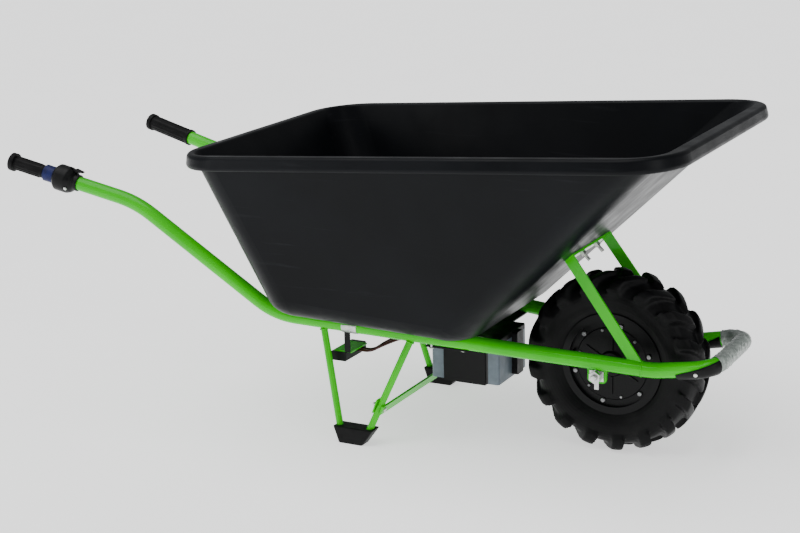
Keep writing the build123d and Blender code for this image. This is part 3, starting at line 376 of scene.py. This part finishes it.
def rings(made, spacing):
    """Rings about the axle, a set distance apart."""
    nodes, links = made.node_tree.nodes, made.node_tree.links
    place = nodes.new("ShaderNodeTexCoord")
    centre = nodes.new("ShaderNodeMapping")
    centre.inputs["Scale"].default_value = (1, 0, 1)
    centre.inputs["Location"].default_value = (-wheel_middle[0], 0, -wheel_middle[2])
    reach = nodes.new("ShaderNodeVectorMath")
    reach.operation = "LENGTH"
    count = nodes.new("ShaderNodeMath")
    count.operation = "MULTIPLY"
    count.inputs[1].default_value = 2 * math.pi / spacing
    wave = nodes.new("ShaderNodeMath")
    wave.operation = "SINE"
    links.new(place.outputs["Object"], centre.inputs["Vector"])
    links.new(centre.outputs["Vector"], reach.inputs[0])
    links.new(reach.outputs["Value"], count.inputs[0])
    links.new(count.outputs["Value"], wave.inputs[0])
    return wave.outputs["Value"]


emboss(tyre_rubber, rings(tyre_rubber, 0.007), 0.0002, 0.3)
dust = grain(tyre_rubber, 30, 8)
overlay(tyre_rubber, spread(tyre_rubber, dust, 0.58, 0.76, 0, 0.3), (0.014, 0.013, 0.012))
softened("tyre", 0.0034, 7)
finished("moulded_tyre", "wheel", tyre_rubber, "tyre")
dress(tyre_rubber, "tyre_valve")


# ---------------------------------------------------------------- hub
# A pressed steel rim, painted black, is bolted to the flange of a cast aluminium hub motor.

black_paint = coat(
    "satin black paint",
    (0.0026, 0.0026, 0.003),
    (0.0055, 0.0055, 0.006),
    30,
    (0.3, 0.48, 30),
    (500, 0.0002),
    specular=0.15,
)
rust_flecks = grain(black_paint, 160, 4)
overlay(black_paint, spread(black_paint, rust_flecks, 0.72, 0.75, 0, 0.5), (0.05, 0.03, 0.02))
dress(black_paint, "rim", "battery_cradle", "controller_hanger", "throttle_bar")

black_casting = coat(
    "black painted casting",
    (0.0028, 0.0028, 0.003),
    (0.0065, 0.0065, 0.007),
    60,
    (0.32, 0.52, 60),
    (320, 0.0006),
    specular=0.15,
)
dress(black_casting, "motor_shell", "right_motor_cover", "left_motor_cover", "controller")

iron_and_copper = coat(
    "laminations and winding",
    (0.18, 0.18, 0.18),
    (0.5, 0.2, 0.08),
    40,
    (0.3, 0.5, 60),
    (90, 0.0006),
    metallic=1.0,
)
dress(iron_and_copper, "stator")

bare_steel = coat(
    "bare ground steel",
    (0.36, 0.36, 0.37),
    (0.50, 0.50, 0.51),
    80,
    (0.2, 0.4, 120),
    (600, 0.0001),
    metallic=1.0,
)
dress(bare_steel, "magnet_ring", "wheel_bearings", "throttle_magnet", "return_spring")


# ---------------------------------------------------------------- nose wrap and guards
# Packing film is wound round the nose loop to save its coat in transit, and lies in loose wrinkles.
# Black plastic shells, each held by one screw, guard the loop where the film stops.

film_wrap = coat(
    "grey wrapping film",
    (0.16, 0.19, 0.17),
    (0.34, 0.38, 0.35),
    70,
    (0.14, 0.4, 50),
    (240, 0.0010),
)
creases = grain(film_wrap, 60, 6, stretch=(1, 3, 1), turn=(0.3, 0.2, 0.6))
overlay(film_wrap, spread(film_wrap, creases, 0.58, 0.7, 0, 0.6), (0.55, 0.60, 0.57))
folds = grain(film_wrap, 95, 3, stretch=(2, 1, 1), turn=(0, 0.4, 0.8))
emboss(film_wrap, folds, 0.0018, 0.8)
wound_film = softened("nose_wrap", 0.0018, 3)
wrinkle = bpy.data.textures.new("wrinkles", "CLOUDS")
wrinkle.noise_scale = 0.011
wrinkle.noise_depth = 2
push = wound_film.modifiers.new("push", "DISPLACE")
push.texture = wrinkle
push.texture_coords = "LOCAL"
push.strength = 0.0034
push.mid_level = 0.8
bpy.ops.object.modifier_apply(modifier="push")
finished("film_wrap", "frame", film_wrap, "nose_wrap")

black_plastic = coat(
    "grained black plastic",
    (0.0028, 0.0028, 0.003),
    (0.006, 0.006, 0.0065),
    40,
    (0.3, 0.48, 50),
    (1100, 0.0003),
    specular=0.15,
)
softened("nose_guards", 0.0011, 4)
finished("nose_guard_shells", "frame", black_plastic, "nose_guards")


# ---------------------------------------------------------------- handles
# Each grip is a push-on rubber moulding with lengthwise ribs and a wide end flange. The right one
# turns with its blue collar, and beside them a moulded housing carries the direction lever.

handle_rubber = coat(
    "handle rubber",
    (0.0025, 0.0025, 0.0028),
    (0.006, 0.006, 0.0062),
    40,
    (0.4, 0.6, 50),
    (900, 0.0003),
    specular=0.12,
)

RISE_ANGLE, GRIP_ANGLE = math.radians(34.8), math.radians(13.5)
HANDLE_END, UPPER_BEND, LOWER_BEND = -1.446, -1.111, -0.762


def handle_axis(side):
    """The handle's rear end, and the way that the handle runs forward from there."""
    lower_z = RAIL_HEIGHT - LOWER_BEND * math.tan(RAIL_SLOPE)
    upper_z = lower_z + (LOWER_BEND - UPPER_BEND) * math.tan(RISE_ANGLE)
    points = []
    for x in (HANDLE_END, UPPER_BEND):
        z = upper_z + (UPPER_BEND - x) * math.tan(GRIP_ANGLE)
        across = side * (RAIL_HALF_SPREAD - x * math.tan(RAIL_SPLAY))
        points.append(Vector((AXLE_X + x, across, z)))
    return points[0], (points[1] - points[0]).normalized()


SIDES, RIB_EVERY, RIB_HEIGHT = 48, 3, 0.0013
BELL_LENGTH, BELL_RADIUS, RIB_START = 0.012, 0.022, 0.016
PLAIN_END, LIP_LENGTH = 0.012, 0.008
HOLLOW_EDGE, HOLLOW_SLOPE, HOLLOW_DEPTH = 0.006, 0.003, 0.002
EASE_WIDTH, EASE_OVER = 0.0007, math.radians(30)


def ribbed_grip(name, body, side, length, radius, node, lip):
    """A many-sided bar with every third side raised as a rib, a bell at the rear and a dished end."""
    end, forward = handle_axis(side)
    bpy.ops.object.select_all(action="DESELECT")
    bpy.ops.mesh.primitive_cylinder_add(
        vertices=SIDES,
        radius=radius,
        depth=length,
        location=end + forward * (length / 2),
        rotation=forward.to_track_quat("Z", "Y").to_euler(),
    )
    piece = bpy.context.object
    bpy.ops.object.mode_set(mode="EDIT")
    for station in (BELL_LENGTH, RIB_START, length - PLAIN_END, length - LIP_LENGTH):
        bpy.ops.mesh.select_all(action="SELECT")
        bpy.ops.mesh.bisect(plane_co=end + forward * station, plane_no=forward)
    bpy.ops.object.mode_set(mode="OBJECT")

    def pick(test):
        bpy.ops.object.mode_set(mode="EDIT")
        bpy.ops.mesh.select_all(action="DESELECT")
        bpy.ops.mesh.select_mode(type="FACE")
        bpy.ops.object.mode_set(mode="OBJECT")
        for face in piece.data.polygons:
            face.select = test(face.center.z + length / 2, face.center, face.normal)
        bpy.ops.object.mode_set(mode="EDIT")

    def is_rib(along, centre, normal):
        sector = round(math.atan2(centre.y, centre.x) / (2 * math.pi / SIDES) - 0.5)
        ribbed = RIB_START < along < length - PLAIN_END
        return ribbed and abs(normal.z) < 0.5 and sector % RIB_EVERY == 0

    pick(is_rib)
    bpy.ops.mesh.extrude_faces_move(TRANSFORM_OT_shrink_fatten={"value": RIB_HEIGHT})
    pick(lambda along, centre, normal: along < BELL_LENGTH and abs(normal.z) < 0.5)
    bpy.ops.mesh.extrude_region_shrink_fatten(TRANSFORM_OT_shrink_fatten={"value": BELL_RADIUS - radius})
    if lip:
        pick(lambda along, centre, normal: along > length - LIP_LENGTH and abs(normal.z) < 0.5)
        bpy.ops.mesh.extrude_region_shrink_fatten(TRANSFORM_OT_shrink_fatten={"value": lip})
    pick(lambda along, centre, normal: along < 0.001 and normal.z < -0.5)
    bpy.ops.mesh.inset(thickness=HOLLOW_EDGE)
    bpy.ops.mesh.inset(thickness=HOLLOW_SLOPE, depth=-HOLLOW_DEPTH)
    bpy.ops.object.mode_set(mode="OBJECT")
    ease = piece.modifiers.new("ease", "BEVEL")
    ease.width = EASE_WIDTH
    ease.segments = 2
    ease.limit_method = "ANGLE"
    ease.angle_limit = EASE_OVER
    bpy.ops.object.modifier_apply(modifier="ease")
    finished(name, body, handle_rubber, node)


ribbed_grip("ribbed_twist_grip", "twist_throttle", -1, 0.095, 0.016, "twist_grip", 0)
ribbed_grip("ribbed_left_grip", "frame", 1, 0.142, 0.0185, "left_grip", 0.0025)

navy_plastic = coat(
    "navy plastic",
    (0.003, 0.006, 0.050),
    (0.006, 0.012, 0.10),
    60,
    (0.3, 0.5, 50),
    (800, 0.0003),
    specular=0.2,
)
dress(navy_plastic, "throttle_collar")
softened("throttle_housing", 0.0011, 10)
finished("moulded_throttle_housing", "frame", black_plastic, "throttle_housing")
softened("direction_lever", 0.0006, 3)
finished("moulded_direction_lever", "lever", black_plastic, "direction_lever")


# ---------------------------------------------------------------- feet
# The pressed-on rubber feet are blocks that narrow towards the sole, with the moulding's soft edges.

for hand in ("right", "left"):
    softened(f"{hand}_foot", 0.0014, 4)
    finished(f"moulded_{hand}_foot", "frame", handle_rubber, f"{hand}_foot")


# ---------------------------------------------------------------- battery and controller
# The battery is a black box whose end caps are moulded in blue-grey plastic, and its lid and plug
# box are grained black. Two sheathed leads join it to the small finned controller.

grey_plastic = coat(
    "battery box plastic",
    (0.10, 0.13, 0.16),
    (0.15, 0.19, 0.23),
    40,
    (0.34, 0.52, 50),
    (900, 0.0003),
)
case_low, case_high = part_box("battery_case")
case_place = grey_plastic.node_tree.nodes.new("ShaderNodeTexCoord")
case_split = grey_plastic.node_tree.nodes.new("ShaderNodeSeparateXYZ")
grey_plastic.node_tree.links.new(case_place.outputs["Object"], case_split.inputs["Vector"])
REAR_CAP, FRONT_CAP, CAP_EDGE = 0.045, 0.027, 0.001
along_case = case_split.outputs["X"]
rear_cap_end, front_cap_start = case_low[0] + REAR_CAP, case_high[0] - FRONT_CAP
past_rear = spread(grey_plastic, along_case, rear_cap_end, rear_cap_end + CAP_EDGE, 0, 1)
before_front = spread(grey_plastic, along_case, front_cap_start, front_cap_start + CAP_EDGE, 1, 0)
between_caps = grey_plastic.node_tree.nodes.new("ShaderNodeMath")
between_caps.operation = "MULTIPLY"
grey_plastic.node_tree.links.new(past_rear, between_caps.inputs[0])
grey_plastic.node_tree.links.new(before_front, between_caps.inputs[1])
overlay(grey_plastic, between_caps.outputs["Value"], (0.008, 0.008, 0.009))
dress(grey_plastic, "battery_case")
dress(black_plastic, "battery_lid", "battery_plug_box")

lead_sheath = coat(
    "lead sheath",
    (0.030, 0.003, 0.003),
    (0.070, 0.006, 0.006),
    60,
    (0.3, 0.5, 50),
    (700, 0.0002),
)
dress(lead_sheath, "positive_lead", "negative_lead")

cell_label = coat("cell casing", (0.04, 0.04, 0.05), (0.07, 0.07, 0.08), 50, (0.3, 0.5, 50), (500, 0.0002))
dress(cell_label, "battery_cells")

board_green = coat(
    "circuit board",
    (0.008, 0.10, 0.025),
    (0.014, 0.15, 0.04),
    200,
    (0.3, 0.5, 200),
    (600, 0.0002),
)
dress(board_green, "hall_sensor_board")


# ---------------------------------------------------------------- floor, light and camera
# A pale studio sweep under one broad soft light from above, with softboxes at the left and right.

bpy.ops.object.select_all(action="DESELECT")
bpy.ops.mesh.primitive_plane_add(size=40, location=(0, 0, -0.0005))
floor = bpy.context.object
floor.name = "studio_floor"
pale_floor = finish("pale floor", (0.9, 0.9, 0.9), 0.8)
tint(pale_floor, grain(pale_floor, 2, 2), [(0.3, (0.90, 0.90, 0.90)), (0.7, (0.92, 0.92, 0.92))])
roughen(pale_floor, grain(pale_floor, 4, 3), 0.75, 0.9)
floor_shader = pale_floor.node_tree.nodes["Principled BSDF"]
floor_shader.inputs["Emission Color"].default_value = (1, 1, 1, 1)
floor_shader.inputs["Emission Strength"].default_value = 0.9
dress(pale_floor, "studio_floor")

world = bpy.data.worlds.new("studio")
world.use_nodes = True
sky = world.node_tree.nodes["Background"]
sky.inputs["Color"].default_value = (0.96, 0.98, 1.0, 1)
sky.inputs["Strength"].default_value = 0.35
bpy.context.scene.world = world


def soft_light(name, place, aim, size, power):
    lamp = bpy.data.lights.new(name, "AREA")
    lamp.shape = "RECTANGLE"
    lamp.size, lamp.size_y = size
    lamp.energy = power
    holder = bpy.data.objects.new(name, lamp)
    bpy.context.collection.objects.link(holder)
    holder.location = place
    holder.rotation_euler = (Vector(aim) - Vector(place)).to_track_quat("-Z", "Y").to_euler()


sun = bpy.data.lights.new("broad overhead light", "SUN")
sun.energy = 2.0
sun.angle = 1.0
sun_holder = bpy.data.objects.new("broad overhead light", sun)
bpy.context.collection.objects.link(sun_holder)
sun_holder.rotation_euler = (math.radians(12), math.radians(-14), 0)
soft_light("left softbox", (-2.6, -3.0, 1.6), (0, 0, 0.4), (1.2, 2.0), 26)
soft_light("right softbox", (3.4, -1.6, 1.6), (0.2, 0, 0.3), (1.2, 2.0), 22)

FILM_WIDTH, FOCAL_LENGTH, CAMERA_DISTANCE = 36, 77.285, 4.0412
AIM_BACK, AIM_HEIGHT = 0.5461, 0.3606
aim = Vector((AXLE_X - AIM_BACK, 0, AIM_HEIGHT))
azimuth, elevation, tilt = math.radians(27.95), math.radians(15.05), math.radians(-1.34)
level = math.cos(elevation)
away = Vector((math.sin(azimuth) * level, -math.cos(azimuth) * level, math.sin(elevation)))
lens = bpy.data.cameras.new("camera")
lens.sensor_width = FILM_WIDTH
lens.lens = FOCAL_LENGTH
camera = bpy.data.objects.new("camera", lens)
bpy.context.collection.objects.link(camera)
camera.location = aim + away * CAMERA_DISTANCE
camera.rotation_euler = (away.to_track_quat("Z", "Y") @ Quaternion((0, 0, 1), tilt)).to_euler()
bpy.context.scene.camera = camera
